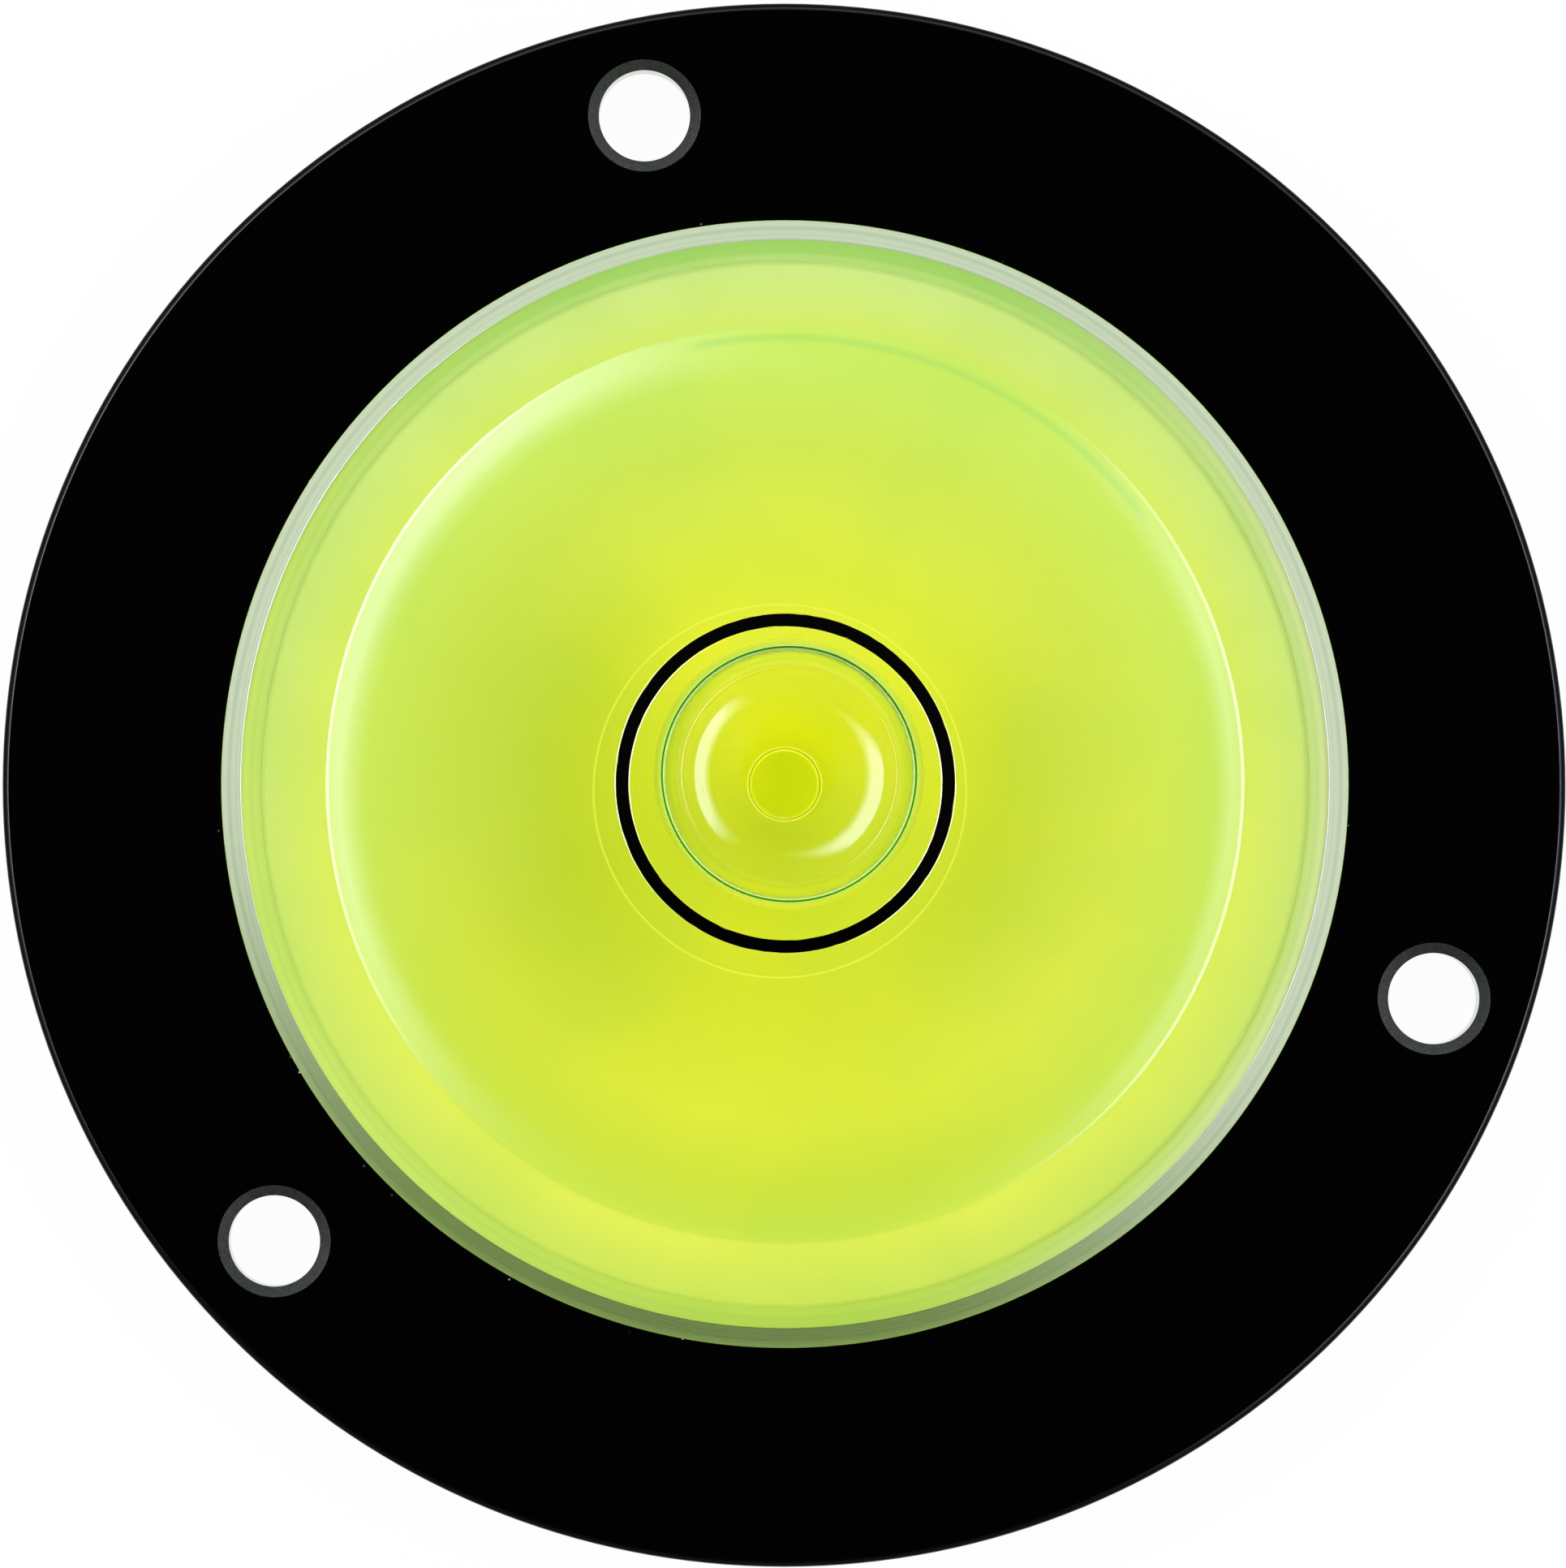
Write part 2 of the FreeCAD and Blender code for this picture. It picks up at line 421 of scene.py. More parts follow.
def lipHeight(start):
    # Where the groove's rolled edge ends, for the place on the dome where it starts
    width, slope = capLook["grooveLip"]
    return domeHeight(start) - width * math.tan(math.radians(slope))


def ceilingHeight(distance):
    sphere = capLook["ceilingRadius"]
    return ceilingTop - sphere + math.sqrt(sphere ** 2 - distance ** 2)


def wettedCeiling(distance):
    return ceilingHeight(distance) - capLook["cementGap"]


def bubbleSection():
    # Half section of the bubble's skin, from the circle where it meets the ceiling to its lowest point
    look = bubbleLook
    side = look["sideRadius"]
    sideCentre = look["diameter"] / 2 - side
    sideDepth = side * math.cos(math.radians(look["contactAngle"]))
    below = look["depth"] - sideDepth
    belly = (sideCentre ** 2 + below ** 2 - side ** 2) / (2 * (below - side))
    joinSlope = math.asin(sideCentre / (belly - side))
    centreHeight = ceilingTop - sideDepth
    contactHeight = ceilingHeight(sideCentre + side * look["contactReach"])
    first = math.acos((contactHeight - centreHeight) / side)
    sideSteps, bellySteps = 48, 32
    points = []
    for step in range(sideSteps + 1):
        angle = first + (math.pi - joinSlope - first) * step / sideSteps
        points.append((sideCentre + side * math.sin(angle), centreHeight + side * math.cos(angle)))
    lowest = ceilingTop - look["depth"]
    for step in range(1, bellySteps + 1):
        angle = joinSlope * (1 - step / bellySteps)
        points.append((belly * math.sin(angle), lowest + belly * (1 - math.cos(angle))))
    return points


def ceilingRings(height, slot, contactRadius, rimRadius, steps=32):
    # Circles that drift from the bubble's axis at its edge to the vial's axis at the wall
    rings = []
    for step in range(steps + 1):
        share = step / steps
        centre = tuple(place * (1 - share) for place in bubbleLook["centre"])
        radius = contactRadius + (rimRadius - contactRadius) * share
        rings.append(ring(radius, height, slot, False, centre))
    return rings


def acrylicPolished():
    # Cast acrylic, turned and polished: water clear, with sharp mirrored lamps in its dome
    material, tree = newTree("castAcrylicPolished")
    clear = addNode(tree, "ShaderNodeBsdfPrincipled", {
        "Base Color": "#ffffff", "Roughness": 0.0, "IOR": capLook["acrylicIor"], "Transmission Weight": 1.0})
    showSurface(tree, letLampsThrough(tree, clear.outputs[0]))
    return material


def acrylicTurned():
    # Cast acrylic, turned and left unpolished: a pale grey bevel streaked by the tool, half clear, with
    # painted shade in a darker dye green on the side away from the lamps
    look = capLook
    material, tree = newTree("castAcrylicTurned")
    marks = addTurningMarks(tree, look["markPitch"], look["markDepth"])
    clear = addNode(tree, "ShaderNodeBsdfPrincipled", {
        "Base Color": look["bevelClear"], "Roughness": look["bevelRoughness"], "IOR": look["acrylicIor"],
        "Transmission Weight": 1.0, "Normal": marks.outputs[0]})
    streaks = addNode(tree, "ShaderNodeTexNoise", {
        "W": addRadius(tree), "Scale": 1 / look["bevelStreaks"], "Detail": 2.0}, noise_dimensions="1D")
    grey = addNode(tree, "ShaderNodeValToRGB", (streaks.outputs[0],), look["bevelGreys"])
    place = addNode(tree, "ShaderNodeTexCoord").outputs["Object"]
    # Painted shade: toward this azimuth the bevel turns a darker dye green
    paintedShade = addFan(tree, place, *look["shadedSide"])
    colour = addNode(tree, "ShaderNodeMix", {0: paintedShade, 6: grey.outputs[0], 7: look["bevelShadeGreen"]},
                     data_type="RGBA")
    bloom = addNode(tree, "ShaderNodeBsdfAnisotropic", {
        "Color": colour.outputs[2], "Roughness": look["bevelRoughness"], "Normal": marks.outputs[0]})
    mixed = addNode(tree, "ShaderNodeMixShader", (look["bevelBloom"], clear.outputs[0], bloom.outputs[0]))
    showSurface(tree, letLampsThrough(tree, mixed.outputs[0]))
    return material


def acrylicSide():
    # Cast acrylic, turned and lightly polished: clear, with slightly soft reflections
    material, tree = newTree("castAcrylicTurnedSide")
    clear = addNode(tree, "ShaderNodeBsdfPrincipled", {
        "Base Color": "#ffffff", "Roughness": capLook["sideRoughness"], "IOR": capLook["acrylicIor"],
        "Transmission Weight": 1.0})
    showSurface(tree, letLampsThrough(tree, clear.outputs[0]))
    return material


def acrylicWetted():
    # Cast acrylic against liquid, cement or paint: the bend of the light is in the other face
    material, tree = newTree("castAcrylicWetted")
    clear = addNode(tree, "ShaderNodeBsdfTransparent", {"Color": (1, 1, 1, 1)})
    showSurface(tree, clear.outputs[0])
    return material


def makeCap():
    look = capLook
    polished, turned, side, wetted = 0, 1, 2, 3
    innerSteps, outerSteps, footSteps, roofSteps = 16, 32, 12, 8
    grooveIn, grooveOut = look["groove"]
    rings = [ring(0, domeTop, polished)]
    lip = look["grooveLip"][0]
    for step in range(1, innerSteps + 1):
        radius = (grooveIn - lip) * step / innerSteps
        rings.append(ring(radius, domeHeight(radius), polished, step == innerSteps))
    rings.append(ring(grooveIn, lipHeight(grooveIn - lip), wetted, True))
    rings.append(ring(grooveIn, grooveFloor, wetted, True))
    rings.append(ring(grooveOut, grooveFloor, wetted, True))
    rings.append(ring(grooveOut, lipHeight(grooveOut + lip), polished, True))
    rings.append(ring(grooveOut + lip, domeHeight(grooveOut + lip), polished, True))
    footStart = domeEdge - look["footWidth"]
    for step in range(1, outerSteps + 1):
        radius = grooveOut + lip + (footStart - grooveOut - lip) * step / outerSteps
        rings.append(ring(radius, domeHeight(radius), polished))
    startSlope = math.asin(footStart / domeRadius)
    drop = domeHeight(footStart) - landLevel
    roll = math.radians(look["footSlope"]) - startSlope
    slopes = [startSlope + roll * min(1.0, step / look["footRoll"]) for step in range(footSteps + 1)]
    falls = [0.0]
    for first, second in zip(slopes, slopes[1:]):
        falls.append(falls[-1] + math.tan((first + second) / 2))
    for step, fall in enumerate(falls[1:], 1):
        share = fall / falls[-1]
        radius = footStart + look["footWidth"] * step / footSteps
        rings.append(ring(radius, domeHeight(footStart) - drop * share, polished, step == footSteps))
    rounding = look["edgeRounding"]
    ceilingEdge = ceilingHeight(cavityRadius)
    rings += roundedCorners([
        (capOuter - look["edgeChamfer"] * 2, landLevel, 0, polished),
        (capOuter - look["edgeChamfer"], landLevel, rounding, turned),
        (capOuter, landLevel - look["edgeChamfer"], rounding, side),
        (capOuter, capBottom + look["cementGap"], 0, wetted),
        (cavityRadius, capBottom + look["cementGap"], 0, wetted),
        (cavityRadius, ceilingEdge, 0, wetted),
    ])
    contact = bubbleSection()[0][0]
    inward = ceilingRings(ceilingHeight, wetted, contact, cavityRadius)[::-1]
    rings += inward[1:]
    rings[-1]["slot"] = polished
    for step in range(1, roofSteps):
        radius = contact * (1 - step / roofSteps)
        rings.append(ring(radius, ceilingHeight, polished, False, bubbleLook["centre"]))
    rings.append(ring(0, ceilingHeight, polished, False, bubbleLook["centre"]))
    mesh = bmesh.new()
    addTurned(mesh, rings)
    finishPiece("vial_lens", mesh, [acrylicPolished(), acrylicTurned(), acrylicSide(), acrylicWetted()],
                "vial_cap")


# Liquid and the bubble in it

liquidLook = {
    "ior": 1.45,
    "tint": "#fafcd8",
    "haze": 0.004,
    "hazeColour": "#f4f7e8",
    "wallGlow": 0.9,            # how much of the side wall is the dye's own colour; the rest is clear
    "mirrorFrom": (0.88, 0.96),  # how far to a glancing look, 1 is along the wall, it turns into a mirror
    "wallColour": "#38a01c",    # seen from within, near the base
    "paleWallColour": "#ecff8c",  # near the ceiling, and at a glancing look, where the white base shows in it
    "wallFade": (5.4, 6.4),     # heights between which one turns into the other
    "paleFrom": (0.5, 0.9),     # and how far to a glancing look
    "sideColour": "#c8ea48",    # seen from outside
    "footPaintedLight": 0.3,            # painted light: a glow that lifts the wall's foot, where the flange shades it
    "footTop": (3.9, 4.2),
}


def dyedLiquid(tree, ior):
    clear = addNode(tree, "ShaderNodeBsdfPrincipled", {
        "Base Color": liquidLook["tint"], "Roughness": 0.0, "IOR": ior, "Transmission Weight": 1.0})
    return clear.outputs[0]


def liquidAgainstAcrylic():
    # Dyed spirit against acrylic: hardly bends the light, and scatters a little of it
    material, tree = newTree("dyedSpiritAgainstAcrylic")
    clear = dyedLiquid(tree, liquidLook["ior"] / capLook["acrylicIor"])
    haze = addNode(tree, "ShaderNodeBsdfDiffuse", {"Color": liquidLook["hazeColour"]})
    mixed = addNode(tree, "ShaderNodeMixShader", (liquidLook["haze"], clear, haze.outputs[0]))
    showSurface(tree, letLampsThrough(tree, mixed.outputs[0]))
    return material


def liquidAgainstWall():
    # Dyed spirit at the vial's side: from within, the long way through the dye ends in a deeper green, paler
    # at a slant and a mirror at a glance; from outside it has the dye's own yellow green
    look = liquidLook
    material, tree = newTree("dyedSpiritAgainstWall")
    clear = dyedLiquid(tree, look["ior"] / capLook["acrylicIor"])
    glance = addNode(tree, "ShaderNodeLayerWeight", {"Blend": 0.5}).outputs["Facing"]
    place = addNode(tree, "ShaderNodeTexCoord").outputs["Object"]
    height = addNode(tree, "ShaderNodeSeparateXYZ", (place,)).outputs[2]
    height = addNode(tree, "ShaderNodeMath", (height, mm), operation="DIVIDE").outputs[0]
    low = addNode(tree, "ShaderNodeMapRange", (height, *look["wallFade"], 1.0, 0.0),
                  interpolation_type="SMOOTHSTEP")
    straight = addNode(tree, "ShaderNodeMapRange", (glance, *look["paleFrom"], 1.0, 0.0),
                       interpolation_type="SMOOTHSTEP")
    deep = addNode(tree, "ShaderNodeMath", (low.outputs[0], straight.outputs[0]), operation="MULTIPLY")
    inner = addNode(tree, "ShaderNodeMix", {
        0: deep.outputs[0], 6: look["paleWallColour"], 7: look["wallColour"]}, data_type="RGBA")
    within = addNode(tree, "ShaderNodeNewGeometry").outputs["Backfacing"]
    colour = addNode(tree, "ShaderNodeMix", {0: within, 6: look["sideColour"], 7: inner.outputs[2]},
                     data_type="RGBA").outputs[2]
    # Painted light: the wall's foot glows where the flange shades it
    foot = addNode(tree, "ShaderNodeMapRange", (height, *look["footTop"], look["footPaintedLight"], 0.0),
                   interpolation_type="SMOOTHSTEP")
    strength = addNode(tree, "ShaderNodeMath", (foot.outputs[0], within), operation="MULTIPLY")
    glow = addNode(tree, "ShaderNodeBsdfPrincipled", {
        "Base Color": colour, "Roughness": 1.0, "Specular IOR Level": 0.0, "Emission Color": colour,
        "Emission Strength": strength.outputs[0]})
    share = addNode(tree, "ShaderNodeMapRange", (glance, *look["mirrorFrom"], look["wallGlow"], 0.0),
                    interpolation_type="SMOOTHSTEP")
    mixed = addNode(tree, "ShaderNodeMixShader", (share.outputs[0], clear, glow.outputs[0]))
    showSurface(tree, letLampsThrough(tree, mixed.outputs[0]))
    return material


def liquidAgainstAir():
    # Dyed spirit against air: the bubble's bright skin
    material, tree = newTree("dyedSpiritAgainstAir")
    showSurface(tree, letLampsThrough(tree, dyedLiquid(tree, liquidLook["ior"])))
    return material


def liquidAgainstBase():
    # Dyed spirit against the white base: shows the base as it is
    material, tree = newTree("dyedSpiritAgainstBase")
    clear = addNode(tree, "ShaderNodeBsdfTransparent", {"Color": (1, 1, 1, 1)})
    showSurface(tree, clear.outputs[0])
    return material


def makeLiquid():
    atCeiling, atWall, atAir, atBase = 0, 1, 2, 3
    floorSteps = 8
    gap = capLook["cementGap"]
    wallRadius = cavityRadius - gap
    floor = liquidLow.z / mm + gap
    rings = [ring(0, floor, atBase)]
    for step in range(1, floorSteps + 1):
        rings.append(ring(wallRadius * step / floorSteps, floor, atBase))
    rings[-1]["slot"] = atWall
    rings[-1]["sharp"] = True
    section = bubbleSection()
    inward = ceilingRings(wettedCeiling, atCeiling, section[0][0], wallRadius)[::-1]
    inward[0]["sharp"] = True
    inward[-1]["sharp"] = True
    inward[-1]["slot"] = atAir
    rings += inward
    for radius, height in section[1:]:
        rings.append(ring(radius, height, atAir, False, bubbleLook["centre"]))
    mesh = bmesh.new()
    addTurned(mesh, rings)
    materials = [liquidAgainstAcrylic(), liquidAgainstWall(), liquidAgainstAir(), liquidAgainstBase()]
    finishPiece("liquid_fill", mesh, materials, "level_liquid")


# Centring ring: paint in the dome's groove

ringLook = {
    "clearance": 0.005,
    "raggedness": 0.02,         # how far the line's edges draw back from the groove's
    "phases": (0.4, 1.7),       # sets where they do, for the inner and the outer edge
    "topSteps": 4,
    "black": "#020202",
    "roughness": 0.1,
    "grain": 0.1,               # size and depth of its unevenness
    "grainDepth": 0.004,
}


def enamelFilled():
    # Black enamel, wiped into a groove: dense and glossy, with a slightly uneven face
    look = ringLook
    material, tree = newTree("blackEnamelFilled")
    place = addNode(tree, "ShaderNodeTexCoord").outputs["Object"]
    grain = addNode(tree, "ShaderNodeTexNoise", {
        "Vector": place, "Scale": 1 / (look["grain"] * mm), "Detail": 2.0})
    bump = addNode(tree, "ShaderNodeBump", {"Height": grain.outputs[0], "Distance": look["grainDepth"] * mm})
    shader = addNode(tree, "ShaderNodeBsdfPrincipled", {
        "Base Color": look["black"], "Roughness": look["roughness"], "Normal": bump.outputs[0]})
    showSurface(tree, shader.outputs[0])
    return material


def paintHeight(distance):
    # The paint's top, level with the groove's rolled edges
    (inner, outer), lip = capLook["groove"], capLook["grooveLip"][0]
    share = (distance - inner) / (outer - inner)
    return lipHeight(inner - lip) * (1 - share) + lipHeight(outer + lip) * share


def raggedEdge(radius, toward, phase):
    # A radius that draws back from a groove's edge here and there, as wiped paint does
    def edge(angle):
        waves = [math.sin(count * angle + phase * count) for count in (7, 19, 31, 47)]
        return radius + toward * ringLook["raggedness"] * (sum(waves) / len(waves)) ** 2 * 2
    return edge


def makeRing():
    grooveIn, grooveOut = capLook["groove"]
    gap = ringLook["clearance"]
    inner, outer = grooveIn + gap, grooveOut - gap
    innerPhase, outerPhase = ringLook["phases"]
    innerTop, outerTop = raggedEdge(inner, 1, innerPhase), raggedEdge(outer, -1, outerPhase)
    rings = [ring(inner, grooveFloor + gap, 0, True), ring(outer, grooveFloor + gap, 0, True),
             ring(outerTop, paintHeight, 0, True)]
    for step in range(1, ringLook["topSteps"]):
        radius = outer + (inner - outer) * step / ringLook["topSteps"]
        rings.append(ring(radius, paintHeight(radius)))
    rings.append(ring(innerTop, paintHeight, 0, True))
    mesh = bmesh.new()
    addTurned(mesh, rings, closed=True)
    line = finishPiece("centring_ring", mesh, [enamelFilled()], "bullseye_ring")
    # Lamp light passes the clear pieces unbent, which would put the line's shadow in the wrong place
    line.visible_shadow = False
    line.visible_diffuse = False


# White base under the liquid, and its plug

baseLook = {
    "roughness": 0.6,
    "wettedIor": 1.03,          # acrylic's over the liquid's
    "reach": 21.5,              # mm from the axis that the ramps below span
    # Painted light and shade: the ramps change the dye's colour with the distance from the axis and between
    # the +Y and -Y sides
    "towardTop": [              # share of the reach, colour on the +Y side
        (0.00, "#d4e40a"), (0.10, "#ecf60c"), (0.24, "#f0f830"), (0.40, "#e2f23a"), (0.58, "#d0ea46"),
        (0.70, "#cef058"), (0.77, "#cef25c"), (0.83, "#daf46a"), (0.925, "#d8f886"),
        (0.935, "#c4ec76"), (0.955, "#aee660"), (1.00, "#b2e268")],
    "towardBottom": [           # and on the -Y side
        (0.00, "#d4e40a"), (0.10, "#cadf08"), (0.24, "#d8e824"), (0.40, "#dcea2e"), (0.58, "#e4f038"),
        (0.70, "#d2e83a"), (0.77, "#ceea48"), (0.83, "#e6f654"), (0.925, "#d2ec58"),
        (0.935, "#c0e24a"), (1.00, "#a8d44c")],
    "plug": "#d8ea0e",
    "plugHighlight": "#f4fa30",
    "plugEdgeFrom": (1.24, 1.3),    # mm from the axis
    "plugEdgeGlow": 0.12,       # painted light: a glow the chamfer gives off into the joint
    "shadeAndLightPatches": [                # painted shade: softly greener places on the left and right; painted light: a paler wall on both sides
        {"azimuth": 182.0, "full": 16.0, "none": 80.0, "radius": 8.6, "reach": 8.4, "depth": 0.32,
         "colour": "#66ac10"},
        {"azimuth": -8.0, "full": 14.0, "none": 66.0, "radius": 8.8, "reach": 6.4, "depth": 0.2,
         "colour": "#66ac10"},
        {"azimuth": 185.0, "full": 20.0, "none": 85.0, "radius": 20.7, "reach": 1.0, "depth": 0.8,
         "colour": "#dcf868"},
        {"azimuth": -5.0, "full": 25.0, "none": 80.0, "radius": 20.8, "reach": 1.0, "depth": 0.9,
         "colour": "#e4f894"},
    ],
    "lines": [                  # painted light and shade in fine circles: a highlight round the filler hole, a bright circle of bent light beside the ring, a darker arc near the dome's foot
        {"centre": (0.0, 0.0), "radius": 1.43, "reach": 0.06, "depth": 0.9, "colour": "#fcff50"},
        {"centre": (-0.17, -0.24), "radius": 6.8, "reach": 0.07, "depth": 0.6, "colour": "#f4fc50"},
        {"centre": (0.0, 0.0), "radius": 16.53, "reach": 0.26, "depth": 0.45, "colour": "#a0e060",
         "arc": (69.0, 31.0, 34.0)},
    ],
    "blotchSize": 5.0,
    "blotchFrom": (0.42, 0.7),  # noise levels between which a blotch comes up
    "blotchDepth": 0.12,
    "blotchColour": "#a4dc48",
    "streakReach": (19.7, 19.9),    # mm from the axis where the wall's tool marks come to show
    "streakPitch": 0.18,
    "streakFrom": (0.4, 0.65),
    "streakDepth": 0.1,
    "streakColour": "#70b848",
}


def dyeAndPaintedLightColour(tree):
    look = baseLook
    place = addNode(tree, "ShaderNodeTexCoord").outputs["Object"]
    radius = addRadius(tree)
    share = addNode(tree, "ShaderNodeMath", (radius, look["reach"]), operation="DIVIDE").outputs[0]
    # Painted light and shade: the dye's colour changes with the distance from the axis and between the +Y and
    # -Y sides
    top = addNode(tree, "ShaderNodeValToRGB", (share,), look["towardTop"])
    bottom = addNode(tree, "ShaderNodeValToRGB", (share,), look["towardBottom"])
    towardTop = addFan(tree, place, 90.0, 0.0, 180.0)
    layers = [(towardTop, top.outputs[0])]      # how much of each colour lies over what is below it
    # Painted shade and light: greener and paler patches
    for patch in look["shadeAndLightPatches"]:
        spread = addFan(tree, place, patch["azimuth"], patch["full"], patch["none"])
        near = addBell(tree, radius, patch["radius"], patch["reach"], patch["depth"])
        over = addNode(tree, "ShaderNodeMath", (near, spread), operation="MULTIPLY")
        layers.append((over.outputs[0], patch["colour"]))
    blotches = addNode(tree, "ShaderNodeTexNoise", {
        "Vector": place, "Scale": 1 / (look["blotchSize"] * mm), "Detail": 1.0})
    over = addNode(tree, "ShaderNodeMapRange", (
        blotches.outputs[0], *look["blotchFrom"], 0.0, look["blotchDepth"]), interpolation_type="SMOOTHSTEP")
    layers.append((over.outputs[0], look["blotchColour"]))
    streaks = addNode(tree, "ShaderNodeTexNoise", {
        "W": radius, "Scale": 1 / look["streakPitch"], "Detail": 2.0}, noise_dimensions="1D")
    streaks = addNode(tree, "ShaderNodeMapRange", (
        streaks.outputs[0], *look["streakFrom"], 0.0, look["streakDepth"]), interpolation_type="SMOOTHSTEP")
    outside = addNode(tree, "ShaderNodeMapRange", (radius, *look["streakReach"], 0.0, 1.0),
                      interpolation_type="SMOOTHSTEP")
    over = addNode(tree, "ShaderNodeMath", (streaks.outputs[0], outside.outputs[0]), operation="MULTIPLY")
    layers.append((over.outputs[0], look["streakColour"]))
    # Painted light and shade: the fine circles
    for line in look["lines"]:
        over = addBell(tree, addRadius(tree, *line["centre"]), line["radius"], line["reach"], line["depth"])
        if "arc" in line:
            arc = addFan(tree, place, *line["arc"])
            over = addNode(tree, "ShaderNodeMath", (over, arc), operation="MULTIPLY").outputs[0]
        layers.append((over, line["colour"]))
    colour = bottom.outputs[0]
    for over, above in layers:
        colour = addNode(tree, "ShaderNodeMix", {0: over, 6: colour, 7: above}, data_type="RGBA").outputs[2]
    return colour


def baseAcrylic():
    # White acrylic, cast, under dyed liquid: a matt face in the dye's colour with painted light and shade,
    # and no gloss of its own
    material, tree = newTree("whiteAcrylicCast")
    shader = addNode(tree, "ShaderNodeBsdfPrincipled", {
        "Base Color": dyeAndPaintedLightColour(tree), "Roughness": baseLook["roughness"], "IOR": baseLook["wettedIor"]})
    showSurface(tree, shader.outputs[0])
    return material


def plugAcrylic():
    # White acrylic, turned: the same white as the base, with a painted highlight and a painted glow on its
    # chamfer
    look = baseLook
    material, tree = newTree("whiteAcrylicTurned")
    # Painted highlight and painted glow on the plug's chamfer
    edge = addNode(tree, "ShaderNodeMapRange", (addRadius(tree), *look["plugEdgeFrom"], 0.0, 1.0),
                   interpolation_type="SMOOTHSTEP").outputs[0]
    colour = addNode(tree, "ShaderNodeMix", {0: edge, 6: look["plug"], 7: look["plugHighlight"]}, data_type="RGBA")
    glow = addNode(tree, "ShaderNodeMath", (edge, look["plugEdgeGlow"]), operation="MULTIPLY")
    shader = addNode(tree, "ShaderNodeBsdfPrincipled", {
        "Base Color": colour.outputs[2], "Roughness": look["roughness"], "IOR": look["wettedIor"],
        "Emission Color": look["plugHighlight"], "Emission Strength": glow.outputs[0]})
    showSurface(tree, shader.outputs[0])
    return material


def dressNode(node, material):
    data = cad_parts[node].data
    data.materials.clear()
    data.materials.append(material)


# Floor, light and camera

floorLook = {
    "radius": 3000.0,
    "gap": 0.02,                # keeps the paper out of the flange's underside
    "glow": 0.97,               # what a picture sees of the floor in full shadow, 1 is white
    "paper": "#e8e8e6",
}
studio = {
    "tent": [                   # brightness by degrees from straight up, dark where a flat face mirrors it
        (0.0, 0.004), (17.0, 0.004), (23.0, 0.5), (46.0, 0.5), (64.0, 1.0)],
    "darkSide": (255.0, 30.0, 72.0),    # azimuth of the side left dark, its half width, and with the feather
    "darkLevel": 0.04,
    # A lamp's full and feathered half widths get narrower by its taper for each degree down, and it comes up
    # between the two angles from straight up in "from"
    "lamps": [
        {"azimuth": 161.0, "full": 44.0, "none": 92.0, "taper": 5.6, "from": (32.5, 42.5), "strength": 39.0},
        {"azimuth": -5.0, "full": 24.0, "none": 70.0, "taper": 2.2, "from": (34.0, 43.0), "strength": 42.0},
    ],
    "lampTo": (41.0, 41.8),     # degrees from straight up, where both end
    "lampColour": "#d8d4ff",    # cool daylight
}


def paperSweep():
    # Matt white paper: pale everywhere, with the object's soft shadow; clear from below, for the underside
    material, tree = newTree("mattPaperSweep")
    ray = addNode(tree, "ShaderNodeLightPath").outputs
    seen = addNode(tree, "ShaderNodeMath", (ray["Is Camera Ray"], ray["Is Glossy Ray"]), operation="MAXIMUM")
    seen = addNode(tree, "ShaderNodeMath", (seen.outputs[0], ray["Is Transmission Ray"]), operation="MAXIMUM")
    paper = addNode(tree, "ShaderNodeBsdfDiffuse", {"Color": floorLook["paper"]})
    share = 1 - floorLook["glow"]
    faint = addNode(tree, "ShaderNodeBsdfDiffuse", {"Color": (share, share, share, 1)})
    glow = addNode(tree, "ShaderNodeEmission", {"Color": (1, 1, 1, 1), "Strength": floorLook["glow"]})
    shown = addNode(tree, "ShaderNodeAddShader", (faint.outputs[0], glow.outputs[0]))
    mixed = addNode(tree, "ShaderNodeMixShader", (seen.outputs[0], paper.outputs[0], shown.outputs[0]))
    below = addNode(tree, "ShaderNodeNewGeometry").outputs["Backfacing"]
    clear = addNode(tree, "ShaderNodeBsdfTransparent", {"Color": (1, 1, 1, 1)})
    mixed = addNode(tree, "ShaderNodeMixShader", (below, mixed.outputs[0], clear.outputs[0]))
    showSurface(tree, mixed.outputs[0])
    return material


def makeFloor():
    mesh = bmesh.new()
    below = Matrix.Translation((0, 0, -floorLook["gap"] * mm))
    bmesh.ops.create_circle(mesh, cap_ends=True, segments=96, radius=floorLook["radius"] * mm, matrix=below)
    data = bpy.data.meshes.new("paper_floor")
    mesh.to_mesh(data)
    mesh.free()
    data.materials.append(paperSweep())
    floor = bpy.data.objects.new("paper_floor", data)
    bpy.context.scene.collection.objects.link(floor)


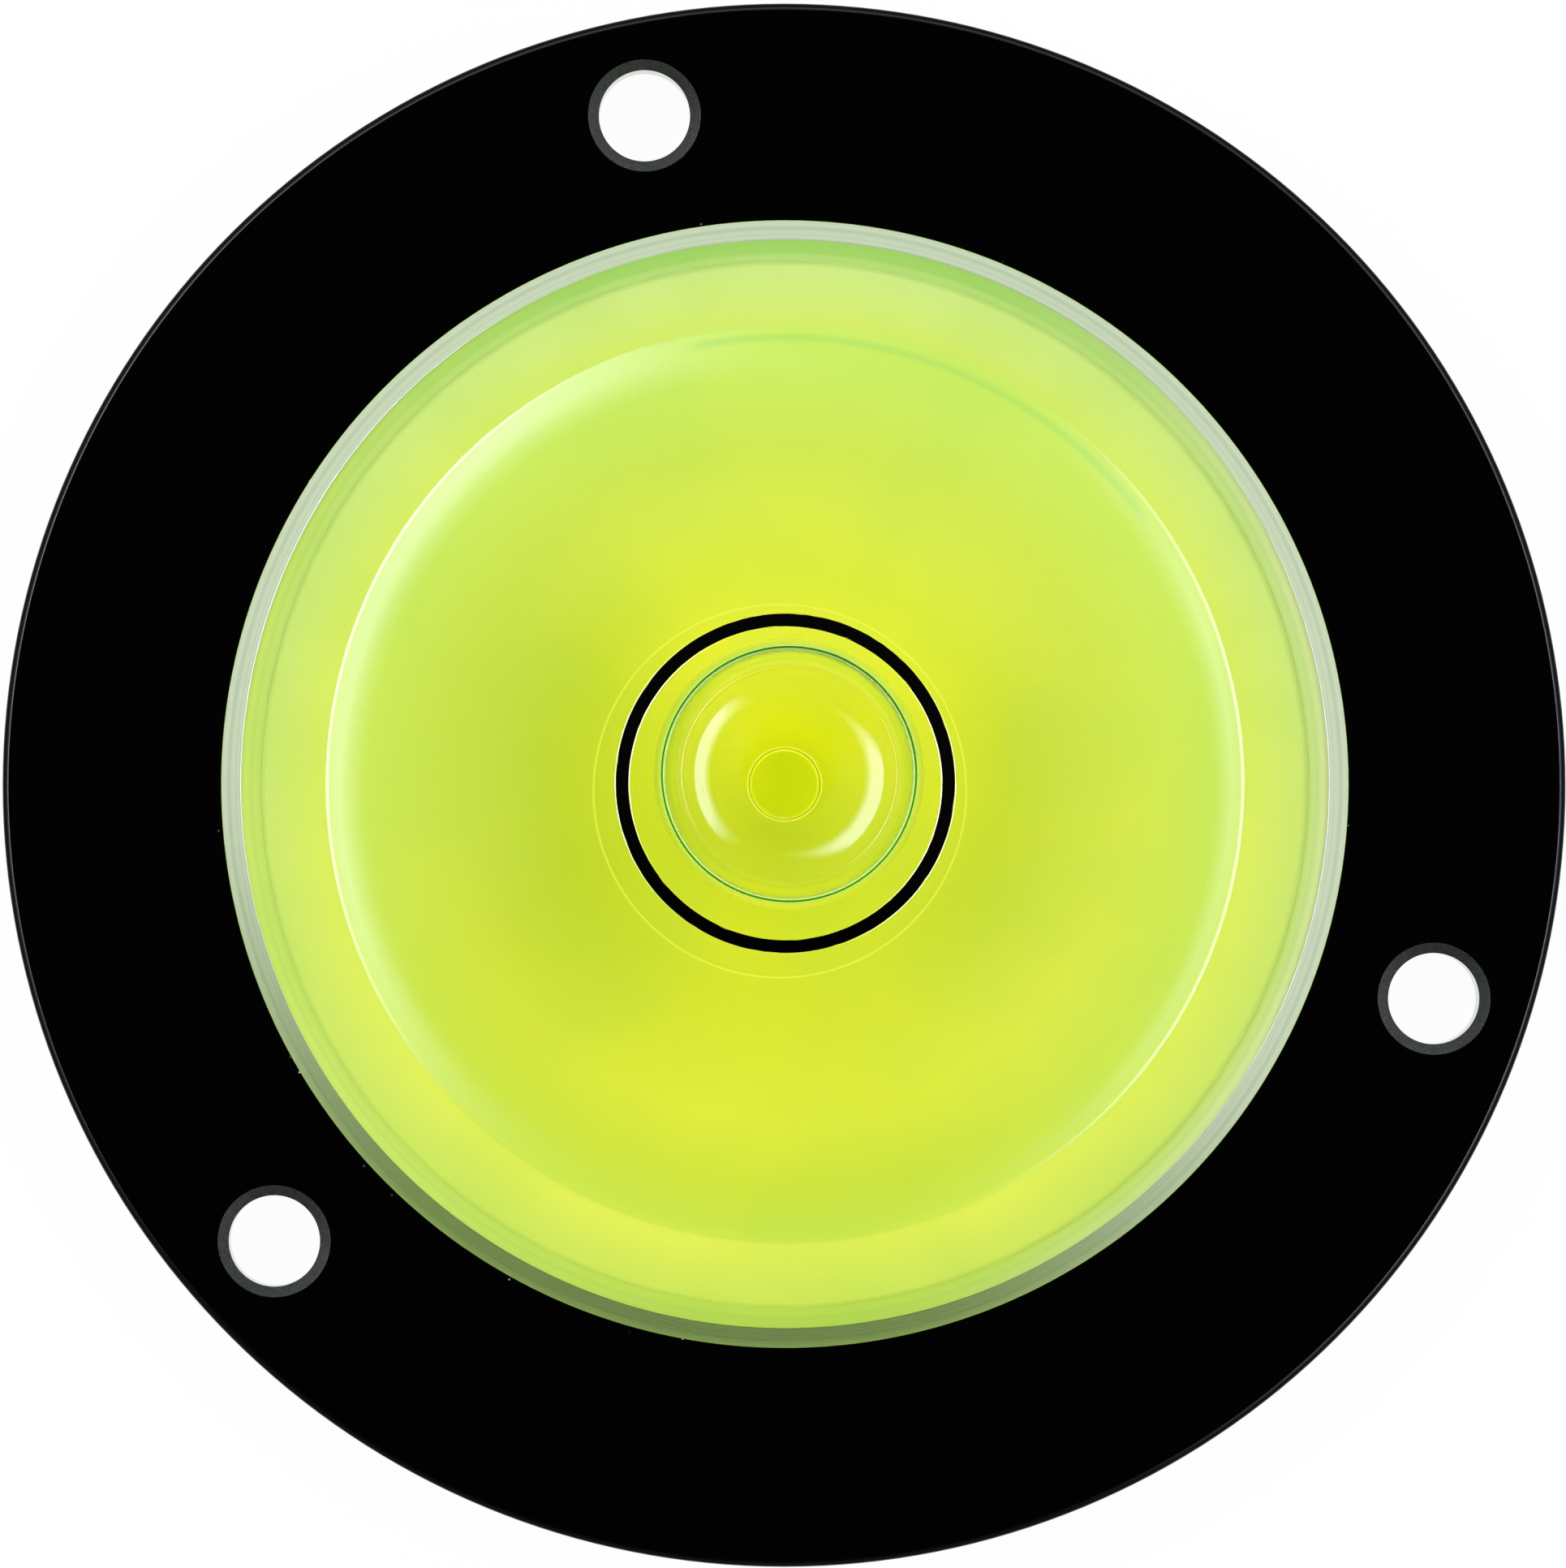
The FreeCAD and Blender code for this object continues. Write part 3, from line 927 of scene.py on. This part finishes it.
def lightTent():
    # A pale tent with two feathered lamps, drawn by direction alone
    world = bpy.data.worlds.new("lightTent")
    world.use_nodes = True
    bpy.context.scene.world = world
    tree = world.node_tree
    tree.nodes.clear()
    direction = addNode(tree, "ShaderNodeTexCoord").outputs["Generated"]
    height = addNode(tree, "ShaderNodeSeparateXYZ", (direction,)).outputs[2]
    fromUp = addNode(tree, "ShaderNodeMath", (height,), operation="ARCCOSINE").outputs[0]
    fromUp = addNode(tree, "ShaderNodeMath", (fromUp,), operation="DEGREES").outputs[0]
    horizon = 90.0
    share = addNode(tree, "ShaderNodeMath", (fromUp, horizon), operation="DIVIDE").outputs[0]
    stops = [(angle / horizon, (strength, strength, strength, 1)) for angle, strength in studio["tent"]]
    tent = addNode(tree, "ShaderNodeValToRGB", (share,), stops)
    azimuth, full, none = studio["darkSide"]
    turn = addTurnFrom(tree, direction, azimuth)
    lit = addNode(tree, "ShaderNodeMapRange", (turn, full, none, studio["darkLevel"], 1.0),
                  interpolation_type="SMOOTHSTEP")
    total = addNode(tree, "ShaderNodeMath", (tent.outputs[0], lit.outputs[0]), operation="MULTIPLY")
    edge = addNode(tree, "ShaderNodeMapRange", (fromUp, *studio["lampTo"], 1.0, 0.0),
                   interpolation_type="SMOOTHSTEP")
    for lamp in studio["lamps"]:
        band = addNode(tree, "ShaderNodeMapRange", (fromUp, *lamp["from"], 0.0, 1.0),
                       interpolation_type="SMOOTHSTEP")
        band = addNode(tree, "ShaderNodeMath", (band.outputs[0], edge.outputs[0]), operation="MULTIPLY")
        down = addNode(tree, "ShaderNodeMath", (fromUp, lamp["from"][0]), operation="SUBTRACT")
        turn = addTurnFrom(tree, direction, lamp["azimuth"])
        turn = addNode(tree, "ShaderNodeMath", (down.outputs[0], lamp["taper"], turn),
                       operation="MULTIPLY_ADD")
        panel = addNode(tree, "ShaderNodeMapRange", (
            turn.outputs[0], lamp["full"], lamp["none"], lamp["strength"], 0.0),
            interpolation_type="SMOOTHSTEP")
        panel = addNode(tree, "ShaderNodeMath", (panel.outputs[0], band.outputs[0]), operation="MULTIPLY")
        light = addNode(tree, "ShaderNodeVectorMath", {
            0: linearColour(studio["lampColour"])[:3], "Scale": panel.outputs[0]}, operation="SCALE")
        total = addNode(tree, "ShaderNodeVectorMath", (total.outputs[0], light.outputs[0]), operation="ADD")
    seen = addNode(tree, "ShaderNodeLightPath").outputs["Is Camera Ray"]
    lights = addNode(tree, "ShaderNodeBackground", {"Color": total.outputs[0], "Strength": 1.0})
    pale = addNode(tree, "ShaderNodeBackground", {"Color": (1, 1, 1, 1), "Strength": 1.0})
    mixed = addNode(tree, "ShaderNodeMixShader", (seen, lights.outputs[0], pale.outputs[0]))
    addNode(tree, "ShaderNodeOutputWorld", {"Surface": mixed.outputs[0]})


photo = {
    "spanAtFlange": 60.149,     # mm of the flange's top face that the picture's height takes in
    "distance": 700.0,          # mm from the flange's top face
    "aimX": -0.05,              # mm, the point at the picture's centre
    "aimY": 0.034,
    "standX": -4.0,             # mm, how far the camera stands off that point
    "standY": -6.0,
}


def makeCamera():
    data = bpy.data.cameras.new("overhead")
    data.sensor_width = 36.0
    data.lens = data.sensor_width * photo["distance"] / photo["spanAtFlange"]
    data.clip_start = 0.05
    data.clip_end = 20.0
    camera = bpy.data.objects.new("overhead", data)
    bpy.context.scene.collection.objects.link(camera)
    aim = Vector((photo["aimX"], photo["aimY"], flangeHigh.z / mm)) * mm
    camera.location = aim + Vector((photo["standX"], photo["standY"], photo["distance"])) * mm
    backward = (camera.location - aim).normalized()
    right = Vector((0, 1, 0)).cross(backward).normalized()
    camera.rotation_euler = Matrix((right, backward.cross(right), backward)).transposed().to_euler()
    bpy.context.scene.camera = camera


makeCamera()
makeFloor()
lightTent()
print("set the floor, the light and the camera")
makeFlange()
makeCap()
makeLiquid()
makeRing()
dressNode("vial_base", baseAcrylic())
dressNode("filler_plug", plugAcrylic())
print("dressed the base and the plug")

bpy.context.scene.view_settings.view_transform = "Standard"
